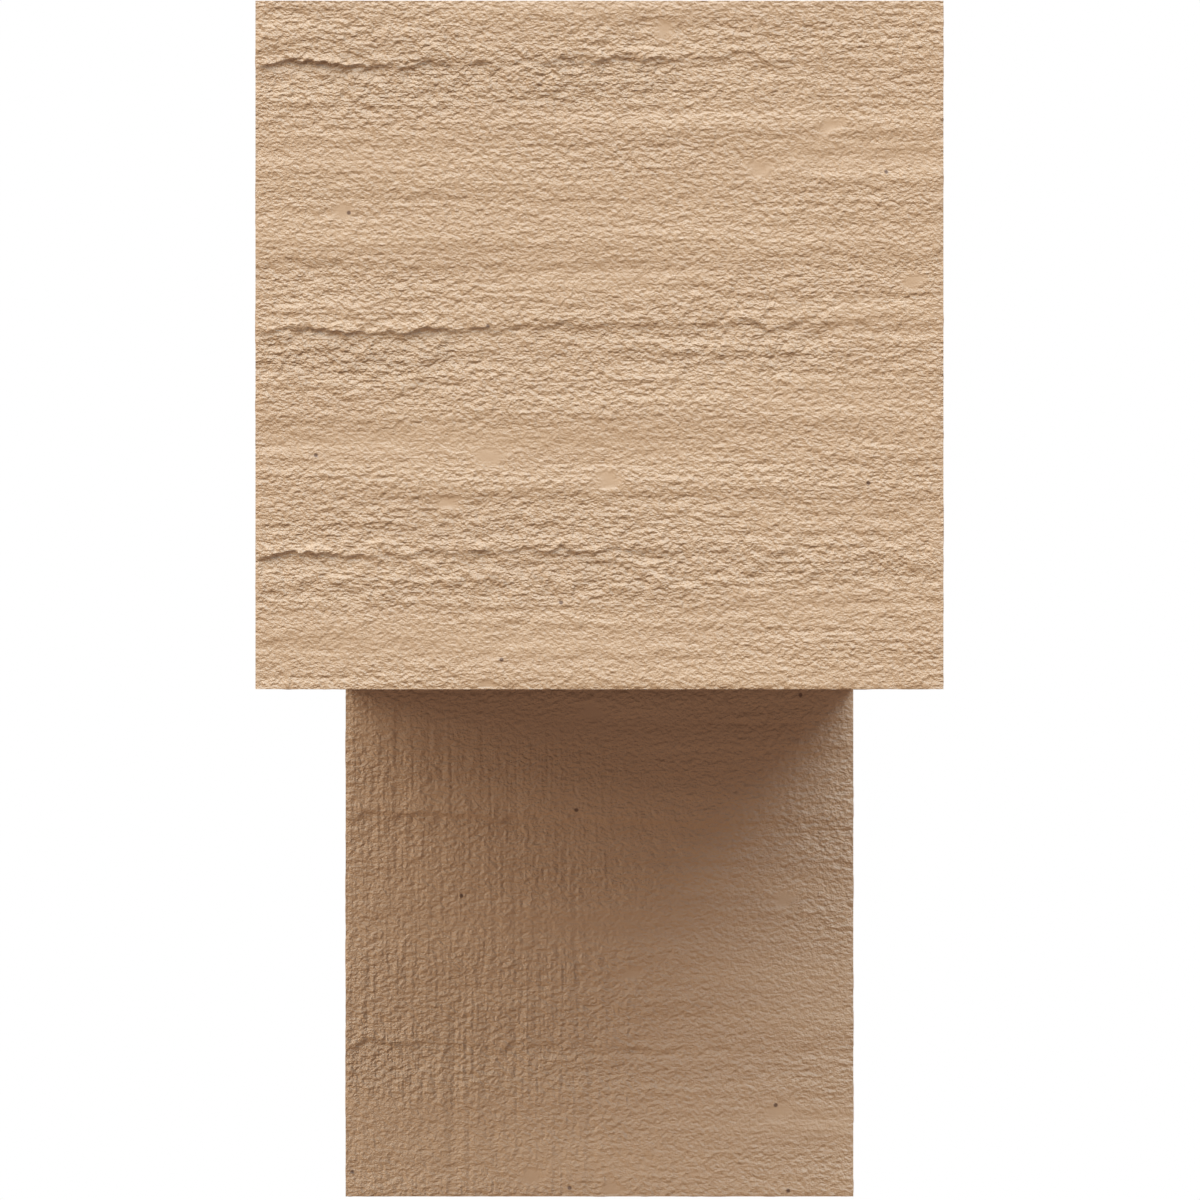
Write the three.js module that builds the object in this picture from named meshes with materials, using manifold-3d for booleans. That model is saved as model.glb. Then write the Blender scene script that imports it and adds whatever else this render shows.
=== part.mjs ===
import * as THREE from 'three';
import { mergeVertices } from 'three/addons/utils/BufferGeometryUtils.js';
import Module from 'manifold-3d';

// A moulded urethane corbel in the shape of rough-sawn timber: an end block, a narrower arm
// that carries it, and a leg that stands down the wall under the arm, all cast in one piece.
// Millimetres, +Z up. The front looks along -Y, and the wall face lies on Y = 0 with its
// centre at the origin.

// Driving dimensions
const blockWidth = 203.2;
const blockHeight = 203.2;
const blockDepth = 101.6;
const armWidth = 152.4;
const armLength = 152.4;
const legDepth = 101.6;
const legDrop = 152.4;

// Grain: long saw ledges, sharp at the upper lip and running out below it
const ledgePitch = 18.5;
const ledgeRun = 12;
const lipRun = 0.6;
const ledgeDepth = 0.3;
const mainLedgeDepth = 0.9;
const ledgeWander = 1.2;
const ledgeWanderLength = 260;
const ledgeFadeLength = 105;
const shallowestLedge = 0.08;
const arrisMargin = 3;
const grainStep = 20;
const cutterProud = 0.5;

// Main ledges below each face's upper edge, or left of its right edge on the undersides
const blockLips = [17.5, 96, 162];
const legLips = [39, 107.5];
const sideLips = [36, 112];
const undersideLips = [54, 110];

// Worked out from the sizes above
const armHeight = blockHeight;
const totalHeight = blockHeight + legDrop;
const totalDepth = blockDepth + armLength + legDepth;
const topZ = totalHeight / 2;
const undersideZ = topZ - armHeight;
const footZ = undersideZ - legDrop;
const frontY = -totalDepth;
const blockBackY = frontY + blockDepth;
const legFrontY = -legDepth;

const wasm = await Module();
wasm.setup();

function toSolid(geometry) {
  const bare = geometry.clone();
  bare.deleteAttribute('normal');
  bare.deleteAttribute('uv');
  const merged = mergeVertices(bare, 1e-5);
  return new wasm.Manifold(new wasm.Mesh({
    numProp: 3,
    vertProperties: new Float32Array(merged.attributes.position.array),
    triVerts: new Uint32Array(merged.index.array),
  }));
}

function toGeometry(solid) {
  const mesh = solid.getMesh();
  const geometry = new THREE.BufferGeometry();
  geometry.setAttribute('position', new THREE.BufferAttribute(new Float32Array(mesh.vertProperties), 3));
  geometry.setIndex(new THREE.BufferAttribute(new Uint32Array(mesh.triVerts), 1));
  geometry.computeVertexNormals();
  return geometry;
}

// The wide block at the end of the arm
function endBlock() {
  const block = new THREE.BoxGeometry(blockWidth, blockDepth, blockHeight);
  block.translate(0, frontY + blockDepth / 2, topZ - blockHeight / 2);
  return toSolid(block);
}

// Arm and leg are one L-shaped side view, as thick as the arm is wide. The arm runs on to
// the middle of the end block, so that the two join inside it.
function armAndLeg() {
  const armFrontY = frontY + blockDepth / 2;
  const side = new THREE.Shape();
  side.moveTo(0, footZ);
  side.lineTo(0, topZ);
  side.lineTo(armFrontY, topZ);
  side.lineTo(armFrontY, undersideZ);
  side.lineTo(legFrontY, undersideZ);
  side.lineTo(legFrontY, footZ);
  side.closePath();
  const body = new THREE.ExtrudeGeometry(side, { depth: armWidth, bevelEnabled: false });
  // The shape's x and y become the object's Y and Z, and its thickness runs along X
  body.applyMatrix4(new THREE.Matrix4().makeBasis(
    new THREE.Vector3(0, 1, 0),
    new THREE.Vector3(0, 0, 1),
    new THREE.Vector3(1, 0, 0),
  ));
  body.translate(-armWidth / 2, 0, 0);
  return toSolid(body);
}

// The lips of one face, from its upper edge down. Minor ones share out the gaps between the
// main ones and the edges.
function lipRows(across, mainLips) {
  const stops = [0, ...mainLips, across];
  const highest = arrisMargin + ledgeWander;
  const lowest = across - highest - lipRun - ledgeRun;
  const lips = [];
  for (let gap = 0; gap < stops.length - 1; gap++) {
    const span = stops[gap + 1] - stops[gap];
    const parts = Math.max(1, Math.round(span / ledgePitch));
    for (let part = 0; part < parts; part++) {
      const below = stops[gap] + span * part / parts;
      if (below >= highest && below <= lowest) {
        lips.push({ below, isMain: part === 0 });
      }
    }
  }
  return lips;
}

// How far a ledge lies below its face at a place along the grain. Below zero it has died out.
function depthOfLedge(row, isMain, u, seed) {
  const turn = 2 * Math.PI * u / ledgeFadeLength;
  if (isMain) {
    return mainLedgeDepth * (0.75 + 0.25 * Math.sin(turn + row + seed));
  }
  const slow = Math.sin(turn + 2.3 * row + seed);
  const quick = Math.sin(2.5 * turn + 4.1 * row + 1.7 * seed);
  return ledgeDepth * (0.35 + 0.45 * slow + 0.25 * quick);
}

// How far a ledge strays from its straight line
function wander(row, u, seed) {
  const shared = Math.sin(2 * Math.PI * u / ledgeWanderLength + seed);
  const own = Math.sin(4 * Math.PI * u / ledgeWanderLength + 1.9 * row + seed);
  return ledgeWander * (0.75 * shared + 0.25 * own);
}

// The cutter for one face is a thin closed slab. Its inner side dips below the face along
// each ledge and lies just outside the face everywhere else.
// u runs along the grain, v across it and w out of the face, all from the face's middle.
function grainCutter({ along, across, mainLips, seed, origin, uAxis, vAxis }) {
  const halfAlong = along / 2 - arrisMargin;
  const lips = lipRows(across, mainLips);
  if (lips.length === 0 || halfAlong <= grainStep / 2) {
    return null;
  }
  const steps = Math.max(2, Math.round(2 * halfAlong / grainStep));
  const rows = [];
  lips.forEach(({ below, isMain }, ledge) => {
    const lip = across / 2 - below;
    rows.push({ ledge, isMain, v: lip, share: 0 });
    rows.push({ ledge, isMain, v: lip - lipRun, share: 1 });
    rows.push({ ledge, isMain, v: lip - lipRun - ledgeRun / 2, share: 0.4 });
    rows.push({ ledge, isMain, v: lip - lipRun - ledgeRun, share: 0 });
  });
  const position = [];
  for (const outer of [false, true]) {
    for (const row of rows) {
      for (let i = 0; i <= steps; i++) {
        const u = -halfAlong + 2 * halfAlong * i / steps;
        const atEnd = i === 0 || i === steps;
        const dip = row.share * depthOfLedge(row.ledge, row.isMain, u, seed);
        const cuts = !outer && !atEnd && dip > shallowestLedge;
        const w = outer ? 2 * cutterProud : (cuts ? -dip : cutterProud);
        position.push(u, row.v + wander(row.ledge, u, seed), w);
      }
    }
  }
  const width = steps + 1;
  const layer = rows.length * width;
  const index = [];
  const quad = (a, b, c, d) => index.push(a, b, c, a, c, d);
  for (let j = 0; j < rows.length - 1; j++) {
    for (let i = 0; i < steps; i++) {
      const a = j * width + i;
      quad(a, a + 1, a + 1 + width, a + width);
      quad(layer + a, layer + a + width, layer + a + 1 + width, layer + a + 1);
    }
    const left = j * width;
    const right = left + steps;
    quad(left, left + width, layer + left + width, layer + left);
    quad(right, layer + right, layer + right + width, right + width);
  }
  const last = (rows.length - 1) * width;
  for (let i = 0; i < steps; i++) {
    quad(i, layer + i, layer + i + 1, i + 1);
    quad(last + i, last + i + 1, layer + last + i + 1, layer + last + i);
  }
  const slab = new THREE.BufferGeometry();
  slab.setAttribute('position', new THREE.Float32BufferAttribute(position, 3));
  slab.setIndex(index);
  const wAxis = new THREE.Vector3().crossVectors(uAxis, vAxis);
  slab.applyMatrix4(new THREE.Matrix4().makeBasis(uAxis, vAxis, wAxis).setPosition(origin));
  return toSolid(slab);
}

// Every face that shows. The wall face and the top, which carries the beam, stay flat.
function grainedFaces() {
  const right = new THREE.Vector3(1, 0, 0);
  const back = new THREE.Vector3(0, 1, 0);
  const up = new THREE.Vector3(0, 0, 1);
  const blockMiddleY = frontY + blockDepth / 2;
  const blockMiddleZ = topZ - blockHeight / 2;
  const armMiddleY = blockBackY + armLength / 2;
  const armAndLegMiddleY = blockBackY / 2;
  const armMiddleZ = topZ - armHeight / 2;
  const legMiddleZ = undersideZ - legDrop / 2;
  const faces = [
    { along: blockWidth, across: blockHeight, mainLips: blockLips, seed: 0.4,
      uAxis: right, vAxis: up, origin: new THREE.Vector3(0, frontY, blockMiddleZ) },
    { along: armWidth, across: legDrop, mainLips: legLips, seed: 2.1,
      uAxis: right, vAxis: up, origin: new THREE.Vector3(0, legFrontY, legMiddleZ) },
    { along: blockDepth, across: blockWidth, mainLips: undersideLips, seed: 3.7,
      uAxis: back, vAxis: right, origin: new THREE.Vector3(0, blockMiddleY, undersideZ) },
    { along: armLength, across: armWidth, mainLips: undersideLips, seed: 5.2,
      uAxis: back, vAxis: right, origin: new THREE.Vector3(0, armMiddleY, undersideZ) },
    { along: legDepth, across: armWidth, mainLips: undersideLips, seed: 1.3,
      uAxis: back, vAxis: right, origin: new THREE.Vector3(0, legFrontY / 2, footZ) },
  ];
  for (const side of [-1, 1]) {
    const uAxis = back.clone().multiplyScalar(side);
    faces.push(
      { along: blockDepth, across: blockHeight, mainLips: sideLips, seed: 2.6 + side,
        uAxis, vAxis: up, origin: new THREE.Vector3(side * blockWidth / 2, blockMiddleY, blockMiddleZ) },
      { along: armLength + legDepth, across: armHeight, mainLips: sideLips, seed: 4.4 + side,
        uAxis, vAxis: up, origin: new THREE.Vector3(side * armWidth / 2, armAndLegMiddleY, armMiddleZ) },
      { along: legDepth, across: legDrop, mainLips: legLips, seed: 0.9 + side,
        uAxis, vAxis: up, origin: new THREE.Vector3(side * armWidth / 2, legFrontY / 2, legMiddleZ) },
    );
  }
  return faces;
}

function corbelSolid() {
  let solid = endBlock().add(armAndLeg());
  for (const face of grainedFaces()) {
    const cutter = grainCutter(face);
    if (cutter) {
      solid = solid.subtract(cutter);
    }
  }
  return solid;
}

// Tan urethane with a flat, stained finish
const stainedUrethane = new THREE.MeshStandardMaterial({ color: 0xc6aa8d, roughness: 0.85, metalness: 0 });

const corbel = new THREE.Mesh(toGeometry(corbelSolid()), stainedUrethane);
corbel.name = 'corbel';

const object = new THREE.Group();
object.name = 'urethane_corbel';
object.add(corbel);

export default object;
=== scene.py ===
import math

import bpy
import numpy as np
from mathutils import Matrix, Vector


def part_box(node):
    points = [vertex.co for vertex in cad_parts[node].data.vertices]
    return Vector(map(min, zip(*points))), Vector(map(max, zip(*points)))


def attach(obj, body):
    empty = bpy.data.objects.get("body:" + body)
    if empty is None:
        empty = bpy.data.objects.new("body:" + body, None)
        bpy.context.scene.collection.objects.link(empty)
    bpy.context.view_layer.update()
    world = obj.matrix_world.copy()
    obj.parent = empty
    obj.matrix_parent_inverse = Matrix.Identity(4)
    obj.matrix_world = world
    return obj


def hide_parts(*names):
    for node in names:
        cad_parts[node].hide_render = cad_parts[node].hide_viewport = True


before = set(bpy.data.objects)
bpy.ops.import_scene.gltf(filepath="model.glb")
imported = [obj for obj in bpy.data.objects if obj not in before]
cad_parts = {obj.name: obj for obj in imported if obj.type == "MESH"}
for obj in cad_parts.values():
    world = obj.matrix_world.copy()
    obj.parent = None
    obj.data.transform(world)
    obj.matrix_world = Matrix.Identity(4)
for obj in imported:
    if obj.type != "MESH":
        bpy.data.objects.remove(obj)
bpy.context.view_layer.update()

# A corbel moulded in urethane as rough-sawn timber: an end block, an arm behind it and a
# leg down the wall. Metres, except where a name or comment says millimetres.
MM = 0.001
CORBEL_LOW, CORBEL_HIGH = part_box("corbel")
FRONT_Y = CORBEL_LOW[1]
WALL_Y = CORBEL_HIGH[1]
FOOT_Z = CORBEL_LOW[2]
TOP_Z = CORBEL_HIGH[2]
BLOCK_SIDE_X = CORBEL_HIGH[0]
ARM_SIDE_X = 152.4 * MM / 2
BLOCK_BACK_Y = FRONT_Y + 101.6 * MM
LEG_FRONT_Y = WALL_Y - 101.6 * MM
UNDERSIDE_Z = TOP_Z - 203.2 * MM

# Mesh cells on each stretch between two arrises
SHOULDER_CELLS = 20
ARM_WIDTH_CELLS = 120
BLOCK_DEPTH_CELLS = 16
ARM_LENGTH_CELLS = 24
LEG_DEPTH_CELLS = 16
LEG_HEIGHT_CELLS = 160
BLOCK_HEIGHT_CELLS = 232

# Saw ledges, laid out as on the solid, in millimetres
LEDGE_PITCH = 18.5
LEDGE_RUN = 12
LIP_RUN = 0.6
LEDGE_DEPTH = 0.3
MAIN_LEDGE_DEPTH = 0.9
LEDGE_WANDER = 1.2
LEDGE_WANDER_LENGTH = 260
LEDGE_FADE_LENGTH = 105
ARRIS_MARGIN = 3

# A ledge's depth, as a share: in the middle of the face, its change across it, and the least
LEDGE_SHARE_MIDDLE = 0.5
LEDGE_SHARE_CHANGE = 0.8
LEDGE_SHARE_LEAST = 0.1
# How deep the ledges and torn patches of the leg's face are, as shares of the block's
LEG_LEDGES = 0.75
LEG_TORN = 0.6

# Main ledges below each face's upper edge, or left of its right edge on the undersides
BLOCK_LIPS = (17.5, 96, 162)
LEG_LIPS = (39, 107.5)
SIDE_LIPS = (36, 112)
UNDERSIDE_LIPS = (54, 110)

# Finer relief, in millimetres
LIP_BULGE = 0.5
LIP_BULGE_RUN = 2.4
LIP_FOOT_RUN = LEDGE_RUN / 5
LIP_DRAW_REACH = 2
LEDGE_END_RUN = 4
SIDE_SINK = 0.15
ARRIS_WEAR = 0.15
ARRIS_FADE = 1.6
WORN_HALF_LENGTH = 4.5
WORN_HALF_HEIGHT = 3.2
# The share of the distance by which a face is drawn to a main lip
LIP_DRAW = 0.7
# How torn the grain is, as a share, at distances below a main lip
TORN_PLACES = (-16, -4, 1, 9, 18)
TORN_SHARES = (0, 0.7, 1, 1, 0)
# Worn spots on each face
WORN_SPOTS = 14
# Lattice steps after which a noise repeats
NOISE_TABLE = 128

# Noise that changes along a lip only: height and length in millimetres, and for LIP_BREAKS and
# TORN_PATCHES the height as a share
WIDE_RAGS = (1.3, 5)
NARROW_RAGS = (1.0, 2.2)
LIP_BREAKS = (0.8, 5)
TORN_PATCHES = (1, 30)

# Noise over a face: height, length along the grain and pitch across it, in millimetres, and for
# SWELL, WORN_RAGS and SAWN_PATCH the height as a share
WIDE_WAVE = (0.6, 24, 15)
NARROW_WAVE = (0.5, 8, 6)
BAND = (0.25, 130, 7)
STREAK = (0.14, 90, 2.8)
RIDGE = (0.12, 4.5, 2.4)
BLOB = (0.14, 2.6, 2.2)
SWELL = (0.28, 70, 12)
WORN_RAGS = (0.3, 3, 2)
WIDE_MARK = (0.12, 2.4, 50)
NARROW_MARK = (0.1, 1.5, 16)
LEVEL_MARK = (0.14, 30, 1.6)
SAWN_BLOB = (0.07, 2.6, 2.4)
SAWN_PATCH = (1, 40, 30)

# How coarse the grain is, as shares: at its middle, more where torn, and less where worn
COARSE_MIDDLE = 0.55
COARSE_TORN = 0.5
COARSE_WORN = 0.95
# Relief lost on worn spots, and grain left on the sides and on the plain faces, as shares
RELIEF_WORN = 0.8
SIDE_GRAIN = 0.8
PLAIN_GRAIN = 0.2

# Right of the leg's middle: where its sawn part starts to fade, where that ends, and where the
# calmer part is reached, which has CALM_LOSS less relief
SAWN_FADE_START = -10
SAWN_FADE_END = 25
CALM_START = 30
CALM_LOSS = 0.18
# Wood grain left on the sawn part, as a share
SAWN_GRAIN = 0.3

# Upright scores of the saw on the leg, in millimetres: right of the middle, and between heights
SAW_SCORES = ((-60, -20, -66), (-44, -122, -190), (-2.4, -118, -190), (64, -40, -58))
SCORE_WIDTH = 0.9
SCORE_END_RUN = 4
SCORE_DEPTH = 0.4


def lines(*stretches):
    """Coordinates along one axis: each (start, end, cells) stretch is cut into equal cells."""
    runs = [np.linspace(start, end, cells + 1)[:-1] for start, end, cells in stretches]
    return np.append(np.concatenate(runs), stretches[-1][1])


GRID = (
    lines(
        (-BLOCK_SIDE_X, -ARM_SIDE_X, SHOULDER_CELLS),
        (-ARM_SIDE_X, ARM_SIDE_X, ARM_WIDTH_CELLS),
        (ARM_SIDE_X, BLOCK_SIDE_X, SHOULDER_CELLS),
    ),
    lines(
        (FRONT_Y, BLOCK_BACK_Y, BLOCK_DEPTH_CELLS),
        (BLOCK_BACK_Y, LEG_FRONT_Y, ARM_LENGTH_CELLS),
        (LEG_FRONT_Y, WALL_Y, LEG_DEPTH_CELLS),
    ),
    lines(
        (FOOT_Z, UNDERSIDE_Z, LEG_HEIGHT_CELLS),
        (UNDERSIDE_Z, TOP_Z, BLOCK_HEIGHT_CELLS),
    ),
)


def line_at(axis, value):
    """The number of the grid line nearest to a coordinate."""
    return int(np.abs(GRID[axis] - value).argmin())


def noise(u, v, seed):
    """Random heights from -1 to 1 on a square lattice one unit apart, eased between its corners
    by 3t^2 - 2t^3."""
    table = np.random.default_rng(seed).uniform(-1, 1, (NOISE_TABLE, NOISE_TABLE))
    column = np.floor(u).astype(int)
    row = np.floor(v).astype(int)
    s = u - column
    t = v - row
    s = s * s * (3 - 2 * s)
    t = t * t * (3 - 2 * t)
    left = column % NOISE_TABLE
    right = (column + 1) % NOISE_TABLE
    below = row % NOISE_TABLE
    above = (row + 1) % NOISE_TABLE
    low = table[left, below] * (1 - s) + table[right, below] * s
    high = table[left, above] * (1 - s) + table[right, above] * s
    return low * (1 - t) + high * t


def layer(size, u, v, seed):
    """Noise over a face. size is its height, its length along u and its pitch across v."""
    height, length, pitch = size
    return height * noise(u / length, v / pitch, seed)


def layer_along(size, u, seed):
    """Noise that is the same for every v. size is its height and its length along u."""
    height, length = size
    return height * noise(u / length, np.zeros_like(u), seed)


def ease(value, start, end):
    """0 before start, 1 after end, and 3t^2 - 2t^3 between them."""
    t = np.clip((value - start) / (end - start), 0, 1)
    return t * t * (3 - 2 * t)


def lips(across, main_lips):
    """Each lip's distance below the face's upper edge, and whether it is a main one. Minor lips
    share out the gaps between the main lips and the edges, about LEDGE_PITCH apart."""
    stops = [0, *main_lips, across]
    found = []
    for above, below in zip(stops, stops[1:]):
        steps = max(1, round((below - above) / LEDGE_PITCH))
        step_size = (below - above) / steps
        found += [(above + step_size * step, step == 0) for step in range(steps)]
    highest = ARRIS_MARGIN + LEDGE_WANDER
    lowest = across - highest - LIP_RUN - LEDGE_RUN
    return [(lip, is_main) for lip, is_main in found if highest <= lip <= lowest]


def ledge_depth(row, is_main, u, seed):
    """A main ledge's depth swings by a quarter along a sine. A minor one is the sum of a slow
    and a quick sine, and is gone where that is below zero."""
    turn = 2 * math.pi * u / LEDGE_FADE_LENGTH
    if is_main:
        return MAIN_LEDGE_DEPTH * (0.75 + 0.25 * np.sin(turn + row + seed))
    slow = np.sin(turn + 2.3 * row + seed)
    quick = np.sin(2.5 * turn + 4.1 * row + 1.7 * seed)
    return np.maximum(LEDGE_DEPTH * (0.35 + 0.45 * slow + 0.25 * quick), 0)


def ledges(u, v, along, across, main_lips, seed):
    """Depth of the saw ledges on a face along by across millimetres, how torn the grain is beside
    the main ones, from 0 to 1 and more to the left, and how far v is drawn to a main lip, which
    leaves 1 - LIP_DRAW of the distance beside it. Above each wandering, ragged lip the face bulges
    over LIP_BULGE_RUN, drops within LIP_RUN, then climbs back over LEDGE_RUN. Half of the drop is
    smooth, and the other half is broken by noise and gone within LIP_FOOT_RUN. All of it fades in
    a straight line from left to right, and eases to nothing at both ends."""
    first_seed = int(seed * 10) + 90
    ends = ease(along / 2 - np.abs(u), 0, LEDGE_END_RUN)
    ragged = layer_along(WIDE_RAGS, u, first_seed)
    ragged += layer_along(NARROW_RAGS, u, first_seed + 3)
    fading = np.maximum(LEDGE_SHARE_MIDDLE - LEDGE_SHARE_CHANGE * u / along, LEDGE_SHARE_LEAST)
    broken = 1 + layer_along(LIP_BREAKS, u, first_seed + 1)
    stations = (-LIP_BULGE_RUN, 0, LIP_RUN, LIP_RUN + LIP_FOOT_RUN, LIP_RUN + LEDGE_RUN)
    turn = 2 * math.pi * u / LEDGE_WANDER_LENGTH
    depth = np.zeros_like(u)
    torn = np.zeros_like(u)
    draw = np.zeros_like(u)
    for row, (lip, is_main) in enumerate(lips(across, main_lips)):
        own = np.sin(2 * turn + 1.9 * row + seed)
        strays = LEDGE_WANDER * (0.75 * np.sin(turn + seed) + 0.25 * own) + ragged
        below_lip = across / 2 - lip + strays - v
        if is_main:
            pull = below_lip * LIP_DRAW * np.exp(-(below_lip / LIP_DRAW_REACH) ** 2)
            draw += pull
            below_lip = below_lip - pull
        jagged = np.interp(below_lip, stations, (0, -LIP_BULGE, 0.5, 0, 0))
        smooth = np.interp(below_lip, stations, (0, 0, 0.5, 0.5, 0))
        depth += (jagged * broken + smooth) * fading * ledge_depth(row, is_main, u, seed)
        if is_main:
            patch = layer_along(TORN_PATCHES, u, first_seed + 4 + row) - u / along
            patch = 0.35 + 0.65 * ease(patch, -0.5, 0.4)
            torn += patch * np.interp(below_lip, TORN_PLACES, TORN_SHARES)
    return depth * ends, torn, draw


def worn_spots(u, v, seed):
    """1 inside a few smooth ovals about 7 mm long and 5 mm high, easing to 0 outside them. The
    distance from each middle is measured in half lengths and half heights, and a little noise is
    added to it."""
    random = np.random.default_rng(seed)
    places = random.uniform((u.min(), v.min()), (u.max(), v.max()), (WORN_SPOTS, 2))
    worn = np.zeros_like(u)
    for u_spot, v_spot in places:
        away = np.hypot((u - u_spot) / WORN_HALF_LENGTH, (v - v_spot) / WORN_HALF_HEIGHT)
        away = away + layer(WORN_RAGS, u, v, seed)
        worn = np.maximum(worn, 1 - ease(away, 0.3, 1.3))
    return worn


def wood_grain(u, v, seed, torn):
    """Height of the grain: long low streaks, short wavy ridges along u that are shorter still
    across v, and blobs that swell where the grain is torn. Each is a noise stretched by its own
    length and pitch."""
    wave = layer(WIDE_WAVE, u, v, seed + 1) + layer(NARROW_WAVE, u, v, seed + 2)
    band = layer(BAND, u, v, seed)
    streak = layer(STREAK, u, v, seed + 3)
    ridge = layer(RIDGE, u, v + wave, seed + 4)
    blob = layer(BLOB, u, v, seed + 5)
    return band + streak + ridge * (0.7 + torn) + blob * (0.6 + 2 * torn)


def saw_marks(u, v, seed):
    """Height of the saw's marks: upright ones, narrow in u and long in v, and level ones the other
    way round, stronger in wide patches, with blobs all over. Each score is a groove whose depth
    is e to the minus square of the distance from its middle, in score widths."""
    patch = 0.3 + 0.7 * ease(layer(SAWN_PATCH, u, v, seed), -0.4, 0.4)
    wide = layer(WIDE_MARK, u, v, seed + 2)
    narrow = layer(NARROW_MARK, u, v, seed + 4)
    level = layer(LEVEL_MARK, u, v, seed + 5)
    blob = layer(SAWN_BLOB, u, v, seed + 3)
    scores = np.zeros_like(u)
    for middle, above, below in SAW_SCORES:
        groove = np.exp(-((u - middle) / SCORE_WIDTH) ** 2)
        groove = groove * ease(v, below - SCORE_END_RUN, below + SCORE_END_RUN)
        scores += groove * (1 - ease(v, above - SCORE_END_RUN, above + SCORE_END_RUN))
    return patch * (wide + narrow + level) + blob - SCORE_DEPTH * scores


# The in-plane axes of a face that looks along each axis
IN_PLANE = ((1, 2), (0, 2), (0, 1))


class Skin:
    """Gathers faces on the grid and their relief. A vertex is known by its three grid line
    numbers, so faces that meet share their arris."""

    def __init__(self):
        self.shape = tuple(len(axis_lines) for axis_lines in GRID)
        self.move = np.zeros(self.shape + (3,), np.float32)
        self.coarse = np.ones(self.shape, np.float32)
        self.sawn = np.zeros(self.shape, np.float32)
        self.quads = []
        self.polygons = []

    def numbers(self, axis, at, i, j):
        """Vertex numbers on the face's grid."""
        first, second = IN_PLANE[axis]
        place = [None, None, None]
        place[axis] = np.full_like(i, at)
        place[first] = i
        place[second] = j
        return np.ravel_multi_index(place, self.shape)

    def grid(self, axis, at, outward, spans):
        """A face as square cells over one or more (i0, i1, j0, j1) spans of grid lines."""
        for i0, i1, j0, j1 in spans:
            i, j = np.meshgrid(np.arange(i0, i1), np.arange(j0, j1), indexing="ij")
            corners = [(i, j), (i + 1, j), (i + 1, j + 1), (i, j + 1)]
            quad = np.stack([self.numbers(axis, at, a, b).ravel() for a, b in corners], axis=1)
            self.quads.append(quad[:, ::-1] if self.is_turned(axis, outward) else quad)

    def strips(self, axis, at, outward, i0, i1, j0, j1, first_row=(), last_row=()):
        """A plain face as one strip for each step in j. first_row and last_row are the grid lines
        that other faces have on its first and last edge."""
        for j in range(j0, j1):
            near = sorted({i0, i1, *first_row}) if j == j0 else [i0, i1]
            far = sorted({i0, i1, *last_row}) if j == j1 - 1 else [i0, i1]
            i = np.array(near + far[::-1])
            row = np.array([j] * len(near) + [j + 1] * len(far))
            ring = self.numbers(axis, at, i, row)
            self.polygons.append(ring[::-1] if self.is_turned(axis, outward) else ring)

    @staticmethod
    def is_turned(axis, outward):
        """Axis pairs Y,Z and X,Y turn to the positive side, and X,Z to the negative."""
        return outward != (-1 if axis == 1 else 1)

    def relief(self, axis, at, outward, spans, surface, turned=False):
        """Moves a face's vertices out by the height of surface(u, v), in millimetres, which fades
        to the worn arris, and across the grain towards the main lips. It keeps how coarse and how
        sawn the grain is there."""
        first, second = IN_PLANE[axis]
        u_line = GRID[first] / MM
        v_line = GRID[second] / MM
        u, v = np.meshgrid(u_line, v_line, indexing="ij")
        inside = np.full(u.shape, -np.inf)
        for i0, i1, j0, j1 in spans:
            edges = (u - u_line[i0], u_line[i1] - u, v - v_line[j0], v_line[j1] - v)
            inside = np.maximum(inside, np.minimum.reduce(edges))
        on_face = inside > -1e-3
        fade = ease(inside, 0, ARRIS_FADE)
        height, coarse, sawn, draw = surface(u, v)
        out = (height + ARRIS_WEAR) * fade - ARRIS_WEAR
        index = [slice(None)] * 3
        index[axis] = at
        index = tuple(index)
        self.move[index][..., axis] += np.where(on_face, out * MM * outward, 0)
        self.move[index][..., first if turned else second] += np.where(on_face, draw * MM, 0)
        self.coarse[index] = np.where(on_face, coarse, self.coarse[index])
        self.sawn[index] = np.where(on_face, sawn, self.sawn[index])

    def mesh(self, name):
        """The closed mesh of all faces, smooth but for its arrises."""
        quads = np.concatenate(self.quads)
        used = np.unique(np.concatenate([quads.ravel(), *self.polygons]))
        place = np.stack(np.unravel_index(used, self.shape), axis=1)
        points = np.stack([GRID[axis][place[:, axis]] for axis in range(3)], axis=1)
        points = points + self.move.reshape(-1, 3)[used]
        faces = np.searchsorted(used, quads).tolist()
        faces += [np.searchsorted(used, ring).tolist() for ring in self.polygons]
        mesh = bpy.data.meshes.new(name)
        mesh.from_pydata(points, [], faces)
        mesh.shade_smooth()
        mesh.set_sharp_from_angle(angle=math.radians(50))
        for kind, values in (("coarse", self.coarse), ("sawn", self.sawn)):
            attribute = mesh.attributes.new(kind, "FLOAT", "POINT")
            attribute.data.foreach_set("value", values.ravel()[used])
        moulded = np.repeat((1.0, PLAIN_GRAIN), (len(quads), len(self.polygons)))
        attribute = mesh.attributes.new("moulded", "FLOAT", "FACE")
        attribute.data.foreach_set("value", moulded.astype(np.float32))
        return mesh


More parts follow.
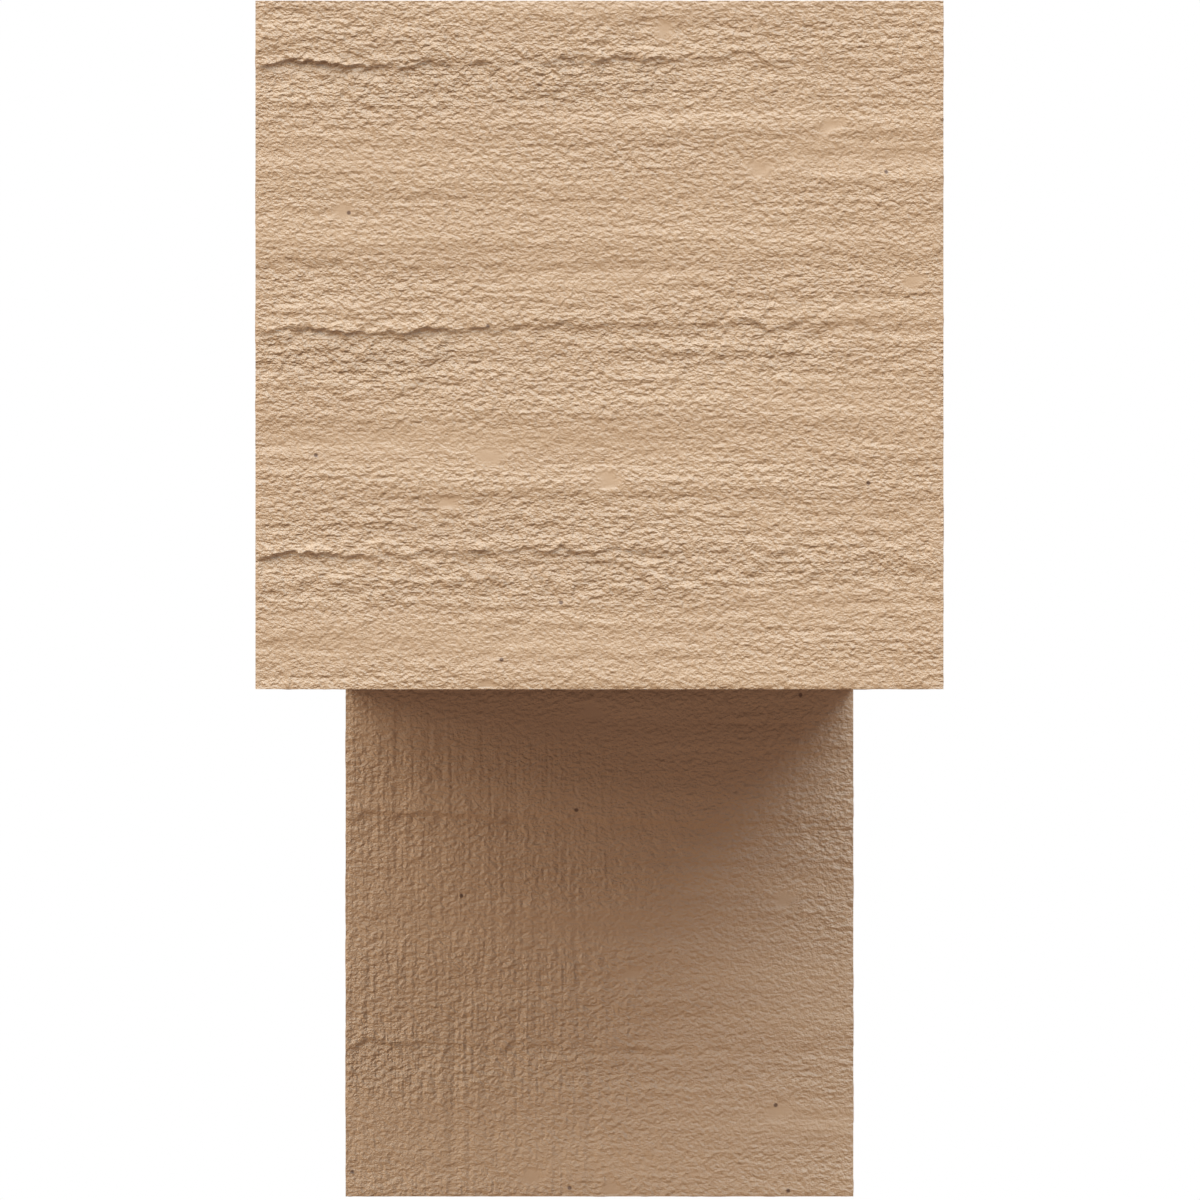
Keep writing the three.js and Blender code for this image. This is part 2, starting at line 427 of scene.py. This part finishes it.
def face_surface(areas, seed, turned=False, is_side=False, is_leg=False):
    """The surface function of one face. areas are (u middle, v middle, along, across, main lips,
    ledge seed, way) in millimetres, and way is -1 where the ledges run against u. The height is
    the grain's less the ledges' depth. Grain runs along u, or along v where turned. A side stays
    behind its plane, so its outline is straight. The leg is sawn across on its left, and calmer
    on its right."""
    def surface(u, v):
        if turned:
            u, v = v, u
        depth = np.zeros_like(u)
        torn = np.zeros_like(u)
        draw = np.zeros_like(u)
        for u_middle, v_middle, along, across, main_lips, ledge_seed, way in areas:
            near = (np.abs(u - u_middle) <= along / 2) & (np.abs(v - v_middle) <= across / 2)
            own_depth, own_torn, own_draw = ledges(
                way * (u - u_middle), v - v_middle, along, across, main_lips, ledge_seed)
            depth = np.where(near, own_depth, depth)
            torn = np.where(near, own_torn, torn)
            draw = np.where(near, own_draw, draw)
        v = v + draw
        if is_leg:
            depth = LEG_LEDGES * depth
            torn = LEG_TORN * torn
        worn = worn_spots(u, v, seed + 30)
        swell = COARSE_MIDDLE + layer(SWELL, u, v, seed + 31)
        coarse = (swell + COARSE_TORN * torn) * (1 - COARSE_WORN * worn)
        height = wood_grain(u, v, seed, torn)
        sawn = np.zeros_like(u)
        if is_leg:
            sawn = 1 - ease(u, SAWN_FADE_START, SAWN_FADE_END)
            calm = 1 - CALM_LOSS * ease(u, SAWN_FADE_START, CALM_START)
            coarse = coarse * calm
            across_grain = SAWN_GRAIN * height + saw_marks(u, v, seed + 40)
            height = (height * (1 - sawn) + across_grain * sawn) * calm
        height = height * (1 - RELIEF_WORN * worn) - depth
        if is_side:
            height = np.minimum(SIDE_GRAIN * height - SIDE_SINK, 0)
        return height, coarse, sawn, draw
    return surface


def corbel_mesh():
    """The whole casting. Every face that shows has relief, and the wall and top faces and the
    narrow shoulders behind the block are plain."""
    block_left, arm_left = line_at(0, -BLOCK_SIDE_X), line_at(0, -ARM_SIDE_X)
    arm_right, block_right = line_at(0, ARM_SIDE_X), line_at(0, BLOCK_SIDE_X)
    front, block_back = line_at(1, FRONT_Y), line_at(1, BLOCK_BACK_Y)
    leg_front, wall = line_at(1, LEG_FRONT_Y), line_at(1, WALL_Y)
    foot, under, top = line_at(2, FOOT_Z), line_at(2, UNDERSIDE_Z), line_at(2, TOP_Z)

    block_width = 2 * BLOCK_SIDE_X / MM
    arm_width = 2 * ARM_SIDE_X / MM
    block_depth = (BLOCK_BACK_Y - FRONT_Y) / MM
    arm_length = (LEG_FRONT_Y - BLOCK_BACK_Y) / MM
    leg_depth = (WALL_Y - LEG_FRONT_Y) / MM
    block_height = (TOP_Z - UNDERSIDE_Z) / MM
    leg_drop = (UNDERSIDE_Z - FOOT_Z) / MM
    block_middle_y = (FRONT_Y + BLOCK_BACK_Y) / 2 / MM
    arm_middle_y = (BLOCK_BACK_Y + LEG_FRONT_Y) / 2 / MM
    arm_and_leg_middle_y = (BLOCK_BACK_Y + WALL_Y) / 2 / MM
    leg_middle_y = (LEG_FRONT_Y + WALL_Y) / 2 / MM
    block_middle_z = (UNDERSIDE_Z + TOP_Z) / 2 / MM
    leg_middle_z = (FOOT_Z + UNDERSIDE_Z) / 2 / MM

    skin = Skin()

    spans = [(block_left, block_right, under, top)]
    skin.grid(1, front, -1, spans)
    skin.relief(1, front, -1, spans, face_surface(
        [(0, block_middle_z, block_width, block_height, BLOCK_LIPS, 0.4, 1)], seed=11))

    spans = [(arm_left, arm_right, foot, under)]
    skin.grid(1, leg_front, -1, spans)
    skin.relief(1, leg_front, -1, spans, face_surface(
        [(0, leg_middle_z, arm_width, leg_drop, LEG_LIPS, 2.1, 1)], seed=22, is_leg=True))

    spans = [
        (block_left, block_right, front, block_back),
        (arm_left, arm_right, block_back, leg_front),
    ]
    reach = [spans[0], (arm_left, arm_right, front, leg_front)]
    skin.grid(2, under, -1, spans)
    skin.relief(2, under, -1, reach, face_surface([
        (block_middle_y, 0, block_depth, block_width, UNDERSIDE_LIPS, 3.7, 1),
        (arm_middle_y, 0, arm_length, arm_width, UNDERSIDE_LIPS, 5.2, 1),
    ], seed=33, turned=True, is_side=True), turned=True)

    spans = [(arm_left, arm_right, leg_front, wall)]
    skin.grid(2, foot, -1, spans)
    skin.relief(2, foot, -1, spans, face_surface(
        [(leg_middle_y, 0, leg_depth, arm_width, UNDERSIDE_LIPS, 1.3, 1)],
        seed=44, turned=True, is_side=True), turned=True)

    for outward, block_side, arm_side in ((-1, block_left, arm_left), (1, block_right, arm_right)):
        spans = [(front, block_back, under, top)]
        skin.grid(0, block_side, outward, spans)
        skin.relief(0, block_side, outward, spans, face_surface([
            (block_middle_y, block_middle_z, block_depth, block_height, SIDE_LIPS,
             2.6 + outward, outward),
        ], seed=55 + outward, is_side=True))

        spans = [(block_back, wall, under, top), (leg_front, wall, foot, under)]
        reach = [spans[0], (leg_front, wall, foot, top)]
        skin.grid(0, arm_side, outward, spans)
        skin.relief(0, arm_side, outward, reach, face_surface([
            (arm_and_leg_middle_y, block_middle_z, arm_length + leg_depth, block_height,
             SIDE_LIPS, 4.4 + outward, outward),
            (leg_middle_y, leg_middle_z, leg_depth, leg_drop, LEG_LIPS, 0.9 + outward, outward),
        ], seed=66 + outward, is_side=True))

    arm_lines = range(arm_left, arm_right + 1)
    left_lines = range(block_left, arm_left + 1)
    right_lines = range(arm_right, block_right + 1)
    skin.strips(1, wall, 1, arm_left, arm_right, foot, top, arm_lines, arm_lines)
    skin.strips(1, block_back, 1, block_left, arm_left, under, top, left_lines, left_lines)
    skin.strips(1, block_back, 1, arm_right, block_right, under, top, right_lines, right_lines)
    skin.strips(
        2, top, 1, block_left, block_right, front, block_back,
        range(block_left, block_right + 1), [*left_lines, *right_lines])
    skin.strips(2, top, 1, arm_left, arm_right, block_back, wall, (), arm_lines)
    return skin.mesh("corbel_casting")


def linear(code):
    """An sRGB hex colour as linear red, green, blue and alpha."""
    channels = [int(code[i:i + 2], 16) / 255 for i in (1, 3, 5)]
    return [c / 12.92 if c <= 0.04045 else ((c + 0.055) / 1.055) ** 2.4 for c in channels] + [1.0]


def add_node(tree, kind, settings=None, inputs=None):
    """Adds a node. settings are its properties, and inputs its sockets' values or links."""
    node = tree.nodes.new(kind)
    for name, value in (settings or {}).items():
        setattr(node, name, value)
    for name, value in (inputs or {}).items():
        if isinstance(value, bpy.types.NodeSocket):
            tree.links.new(value, node.inputs[name])
        else:
            node.inputs[name].default_value = value
    return node


# Pin holes in the stain, painted dark as the shade inside them, in millimetres
PIN_HOLE_PITCH = 80
PIN_HOLE_FLOOR = 0.4
PIN_HOLE_RIM = 0.8


def stained_urethane():
    """Rigid urethane foam cast against sawn timber and finished with a flat tan stain. The eye sees
    a dry, even tan, close wavy grain and a faint glint on the highest ridges. Painted light tints
    the stain paler and cooler where the grain faces up and warmer where it faces down, and painted
    shade darkens the pin holes."""
    material = bpy.data.materials.new("stained_urethane")
    material.use_nodes = True
    tree = material.node_tree
    tree.nodes.clear()
    place = add_node(tree, "ShaderNodeTexCoord").outputs["Object"]
    normal = add_node(tree, "ShaderNodeNewGeometry").outputs["True Normal"]
    facing = add_node(tree, "ShaderNodeSeparateXYZ", None, {0: normal})
    level = add_node(tree, "ShaderNodeMath", {"operation": "ABSOLUTE"}, {0: facing.outputs["Z"]})
    is_level = add_node(
        tree, "ShaderNodeMath", {"operation": "GREATER_THAN"}, {0: level.outputs[0], 1: 0.7})

    def grain_place(length_mm, pitch_mm):
        """Coordinates in grain cells: long along X and Y and short up Z on upright faces, and
        long along Y and short across X on level ones."""
        long_cell = 1 / (length_mm * MM)
        short_cell = 1 / (pitch_mm * MM)
        upright = add_node(tree, "ShaderNodeMapping", None, {
            "Vector": place, "Scale": (long_cell, long_cell, short_cell)})
        flat = add_node(tree, "ShaderNodeMapping", None, {
            "Vector": place, "Scale": (short_cell, long_cell, short_cell)})
        both = add_node(tree, "ShaderNodeMix", {"data_type": "VECTOR"}, {
            "Factor": is_level.outputs[0]})
        tree.links.new(upright.outputs[0], both.inputs[4])
        tree.links.new(flat.outputs[0], both.inputs[5])
        return both.outputs[1]

    on_vertices = add_node(tree, "ShaderNodeAttribute", {"attribute_name": "coarse"})
    moulded = add_node(tree, "ShaderNodeAttribute", {"attribute_name": "moulded"})
    coarse = add_node(tree, "ShaderNodeMath", {"operation": "MULTIPLY"}, {
        0: on_vertices.outputs["Fac"], 1: moulded.outputs["Fac"]})
    sawn = add_node(tree, "ShaderNodeAttribute", {"attribute_name": "sawn"})
    # Grain ridges about 2 mm long and close together
    ridges = add_node(tree, "ShaderNodeTexNoise", None, {
        "Vector": grain_place(2.2, 1.6), "Scale": 1.0, "Detail": 2.0, "Roughness": 0.55})
    # A fine stipple between them, which only the worn spots lack
    stipple = add_node(tree, "ShaderNodeTexNoise", None, {
        "Vector": grain_place(1.0, 0.9), "Scale": 1.0, "Detail": 1.0, "Roughness": 0.5})
    unworn = add_node(tree, "ShaderNodeMapRange", None, {
        "Value": coarse.outputs[0], "From Min": 0.0, "From Max": 0.4, "To Max": 0.25})
    # Streaks along the grain, or up the sawn part of the leg
    streaks_along = add_node(tree, "ShaderNodeTexNoise", None, {
        "Vector": grain_place(60, 1.9), "Scale": 1.0, "Detail": 1.0})
    streaks_up = add_node(tree, "ShaderNodeTexNoise", None, {
        "Vector": grain_place(1.5, 25), "Scale": 1.0, "Detail": 1.0})
    deeper_up = add_node(tree, "ShaderNodeMath", {"operation": "MULTIPLY_ADD"}, {
        0: streaks_up.outputs["Fac"], 1: 1.6, 2: -0.3})
    streaks = add_node(tree, "ShaderNodeMix", {"data_type": "FLOAT"}, {
        0: sawn.outputs["Fac"], 2: streaks_along.outputs["Fac"], 3: deeper_up.outputs[0]})
    both = add_node(tree, "ShaderNodeMath", {"operation": "MULTIPLY_ADD"}, {
        0: streaks.outputs[0], 1: 0.3, 2: ridges.outputs["Fac"]})
    # 0.65 is the middle of the sum, so the coarseness raises and lowers the grain alike
    centred = add_node(tree, "ShaderNodeMath", {"operation": "SUBTRACT"}, {
        0: both.outputs[0], 1: 0.65})
    grain_height = add_node(tree, "ShaderNodeMath", {"operation": "MULTIPLY"}, {
        0: centred.outputs[0], 1: coarse.outputs[0]})
    stippled = add_node(tree, "ShaderNodeMath", {"operation": "MULTIPLY_ADD"}, {
        0: stipple.outputs["Fac"], 1: unworn.outputs[0], 2: grain_height.outputs[0]})
    grain_bump = add_node(tree, "ShaderNodeBump", None, {
        "Strength": 1.0, "Distance": 1.75 * MM, "Height": stippled.outputs[0]})
    # The stain lies a little darker in broad streaks along the grain
    stain = add_node(tree, "ShaderNodeTexNoise", None, {
        "Vector": grain_place(70, 7), "Scale": 1.0, "Detail": 3.0})
    colour = add_node(tree, "ShaderNodeValToRGB", None, {"Fac": stain.outputs["Fac"]})
    colour.color_ramp.elements[0].position = 0.3
    colour.color_ramp.elements[0].color = linear("#ba9c7c")
    colour.color_ramp.elements[1].position = 0.7
    colour.color_ramp.elements[1].color = linear("#c2a585")
    # A few pin holes about a millimetre wide, painted dark brown as the shade inside them, one in
    # each PIN_HOLE_PITCH of an upright face each way, and faint on the plain ones
    axes = add_node(tree, "ShaderNodeSeparateXYZ", None, {0: place})
    around = add_node(tree, "ShaderNodeMath", {"operation": "ADD"}, {
        0: axes.outputs["X"], 1: axes.outputs["Y"]})
    unrolled = add_node(tree, "ShaderNodeCombineXYZ", None, {
        "X": around.outputs[0], "Y": axes.outputs["Z"]})
    cells = add_node(tree, "ShaderNodeTexVoronoi", {"voronoi_dimensions": "2D"}, {
        "Vector": unrolled.outputs[0], "Scale": 1 / (PIN_HOLE_PITCH * MM)})
    holes = add_node(tree, "ShaderNodeMapRange", None, {
        "Value": cells.outputs["Distance"], "From Min": PIN_HOLE_FLOOR / PIN_HOLE_PITCH,
        "From Max": PIN_HOLE_RIM / PIN_HOLE_PITCH, "To Min": 1.0, "To Max": 0.0})
    upright_holes = add_node(tree, "ShaderNodeMath", {"operation": "SUBTRACT", "use_clamp": True}, {
        0: holes.outputs[0], 1: is_level.outputs[0]})
    pin_hole_shade_mask = add_node(tree, "ShaderNodeMath", {"operation": "MULTIPLY"}, {
        0: upright_holes.outputs[0], 1: moulded.outputs["Fac"]})
    # The pin holes' painted shade, mixed into the stain
    stain_with_pin_hole_shade = add_node(tree, "ShaderNodeMix", {"data_type": "RGBA"}, {
        "Factor": pin_hole_shade_mask.outputs[0], 6: colour.outputs["Color"], 7: linear("#6e5440")})
    # Painted light and shade on upright faces: the stain is tinted paler and cooler on grain that
    # faces up and warmer on grain that faces down, as cool light from above and warm light from
    # below would show it; level faces keep the stain as it is
    tilt = add_node(tree, "ShaderNodeSeparateXYZ", None, {0: grain_bump.outputs["Normal"]})
    painted_light_share = add_node(tree, "ShaderNodeMapRange", None, {
        "Value": tilt.outputs["Z"], "From Min": -0.4, "From Max": 0.4})
    upright_painted_light_share = add_node(tree, "ShaderNodeMix", {"data_type": "FLOAT"}, {
        0: is_level.outputs[0], 2: painted_light_share.outputs[0], 3: 0.5})
    painted_light_tint = add_node(tree, "ShaderNodeMix", {"data_type": "RGBA"}, {
        "Factor": upright_painted_light_share.outputs[0], 6: (1.06, 0.99, 0.87, 1), 7: (0.94, 1.01, 1.13, 1)})
    stain_with_painted_light = add_node(tree, "ShaderNodeMix", {"data_type": "RGBA", "blend_type": "MULTIPLY"}, {
        "Factor": 1.0, 6: stain_with_pin_hole_shade.outputs[2], 7: painted_light_tint.outputs[2]})
    shader = add_node(tree, "ShaderNodeBsdfPrincipled", None, {
        "Base Color": stain_with_painted_light.outputs[2], "Roughness": 0.55, "Specular IOR Level": 0.65,
        "IOR": 1.5, "Normal": grain_bump.outputs["Normal"]})
    add_node(tree, "ShaderNodeOutputMaterial", None, {"Surface": shader.outputs[0]})
    return material


def casting():
    """The one casting, which shows in the place of the solid."""
    mesh = corbel_mesh()
    mesh.materials.append(stained_urethane())
    piece = bpy.data.objects.new("corbel_casting", mesh)
    bpy.context.scene.collection.objects.link(piece)
    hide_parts("corbel")
    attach(piece, "root")


def floor():
    """A plain pale floor below the corbel, which hangs on its wall. It throws no light back."""
    half = 1.5
    gap = 0.06
    z = FOOT_Z - gap
    middle_y = (FRONT_Y + WALL_Y) / 2
    corners = [(-half, -half), (half, -half), (half, half), (-half, half)]
    mesh = bpy.data.meshes.new("pale_floor")
    mesh.from_pydata([(x, y + middle_y, z) for x, y in corners], [], [(0, 1, 2, 3)])
    paint = bpy.data.materials.new("pale_floor_paint")
    paint.use_nodes = True
    paint.node_tree.nodes["Principled BSDF"].inputs["Base Color"].default_value = linear("#ededea")
    paint.node_tree.nodes["Principled BSDF"].inputs["Roughness"].default_value = 0.9
    mesh.materials.append(paint)
    ground = bpy.data.objects.new("pale_floor", mesh)
    ground.visible_diffuse = False
    ground.visible_glossy = False
    bpy.context.scene.collection.objects.link(ground)


# Soft studio lamps: degrees right of the front, degrees up, and strength in red, green, blue
LAMPS = (
    ("left_panel", -75, 38, (0.67, 0.64, 0.59)),
    ("front_soft_box", 0, 38, (0.21, 0.27, 0.30)),
    ("overhead_panel", 30, 62, (0.60, 0.67, 0.73)),
    ("right_soft_box", 70, 62, (0.36, 0.37, 0.39)),
    ("warm_fill", -50, 38, (0.09, 0.05, 0.0)),
)
# Each lamp's width on the sky, in degrees
LAMP_SPREAD = 60
# The light that the studio's walls throw back
WALL_LIGHT = 0.33
WALL_COLOUR = (1.0, 0.77, 0.69, 1)
# Raises all the light alike
STUDIO_POWER = 1.14


def lights():
    """One wide lamp for each row of LAMPS, turned to shine from its place on the sky."""
    for name, right, up, strength in LAMPS:
        brightest = max(strength)
        lamp = bpy.data.lights.new(name, "SUN")
        lamp.angle = math.radians(LAMP_SPREAD)
        lamp.energy = math.pi * brightest * STUDIO_POWER
        lamp.color = [s / brightest for s in strength]
        holder = bpy.data.objects.new(name, lamp)
        flat = math.cos(math.radians(up))
        towards = Vector((
            flat * math.sin(math.radians(right)),
            -flat * math.cos(math.radians(right)),
            math.sin(math.radians(up)),
        ))
        holder.rotation_euler = towards.to_track_quat("Z", "Y").to_euler()
        bpy.context.scene.collection.objects.link(holder)


def studio():
    """A white studio: the camera sees plain white, and the walls throw back a little light."""
    world = bpy.data.worlds.new("white_studio")
    world.use_nodes = True
    tree = world.node_tree
    tree.nodes.clear()
    seen = add_node(tree, "ShaderNodeBackground", None, {"Color": (1, 1, 1, 1), "Strength": 1.0})
    thrown = add_node(tree, "ShaderNodeBackground", None, {
        "Color": WALL_COLOUR, "Strength": WALL_LIGHT * STUDIO_POWER})
    path = add_node(tree, "ShaderNodeLightPath")
    mix = add_node(tree, "ShaderNodeMixShader", None, {0: path.outputs["Is Camera Ray"]})
    tree.links.new(thrown.outputs[0], mix.inputs[1])
    tree.links.new(seen.outputs[0], mix.inputs[2])
    add_node(tree, "ShaderNodeOutputWorld", None, {"Surface": mix.outputs[0]})
    scene = bpy.context.scene
    scene.world = world
    scene.view_settings.view_transform = "Standard"
    scene.view_settings.look = "None"


def camera():
    """Level and straight on from 16 m, so that the corbel's height fills the picture. The lens is
    the sensor's width times the distance, over the width of the picture on the block's front."""
    lens = bpy.data.cameras.new("camera")
    distance = 16
    picture_width = 353.9 * MM
    middle_x = 0.16 * MM
    middle_z = 1.05 * MM
    lens.sensor_width = 36
    lens.lens = lens.sensor_width * distance / picture_width
    lens.clip_start = 1
    lens.clip_end = 100
    holder = bpy.data.objects.new("camera", lens)
    holder.location = (middle_x, FRONT_Y - distance, middle_z)
    holder.rotation_euler = (math.pi / 2, 0, 0)
    bpy.context.scene.collection.objects.link(holder)
    bpy.context.scene.camera = holder


camera()
casting()
floor()
lights()
studio()
